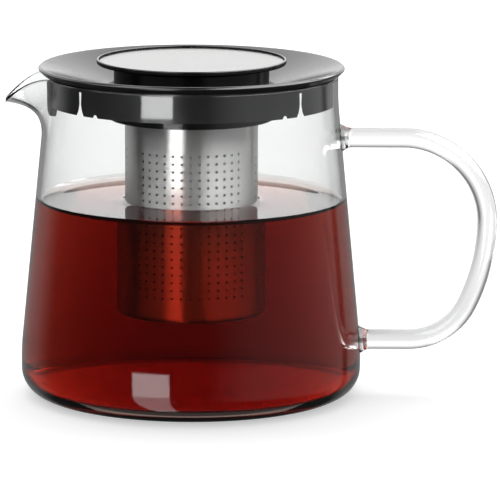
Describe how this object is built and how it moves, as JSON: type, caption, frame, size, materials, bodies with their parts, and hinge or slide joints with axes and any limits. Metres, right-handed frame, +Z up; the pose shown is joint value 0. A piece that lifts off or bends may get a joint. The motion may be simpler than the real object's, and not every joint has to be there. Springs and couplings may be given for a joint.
{
  "type": "glass teapot",
  "caption": "Glass teapot with pulled spout and rod handle, lift-off black lid with steel-topped knob, and a perforated steel strainer hung from the lid by a bayonet collar.",
  "frame": {"origin": "centre of the jug's base on the table, on the jug's axis", "axes": "+Z up the jug's axis, +X towards the handle, -X towards the spout"},
  "size_m": [0.2194, 0.1512, 0.1504],
  "materials": {
    "clear_glass": "clear, fire-polished",
    "black_plastic": "smooth black moulding",
    "satin_steel": "fine satin",
    "brushed_steel": "brushed round the tube"
  },
  "bodies": {
    "jug": {"glass_jug": "clear_glass", "glass_handle": "clear_glass"},
    "lid": {"lid_cover": "black_plastic", "lid_skirt": "black_plastic", "knob_cap": "black_plastic", "knob_plate": "satin_steel"},
    "strainer": {"strainer_collar": "black_plastic", "strainer_tube": "brushed_steel", "strainer_base": "brushed_steel"}
  },
  "joints": [
    {"name": "lid_lift", "type": "slide", "parent": "jug", "child": "lid", "axis": [0, 0, 1], "range_m": [0, 0.12]},
    {"name": "strainer_twist", "type": "hinge", "parent": "lid", "child": "strainer", "pos_m": [0, 0, 0.13], "axis": [0, 0, 1], "range_deg": [0, 40]}
  ]
}
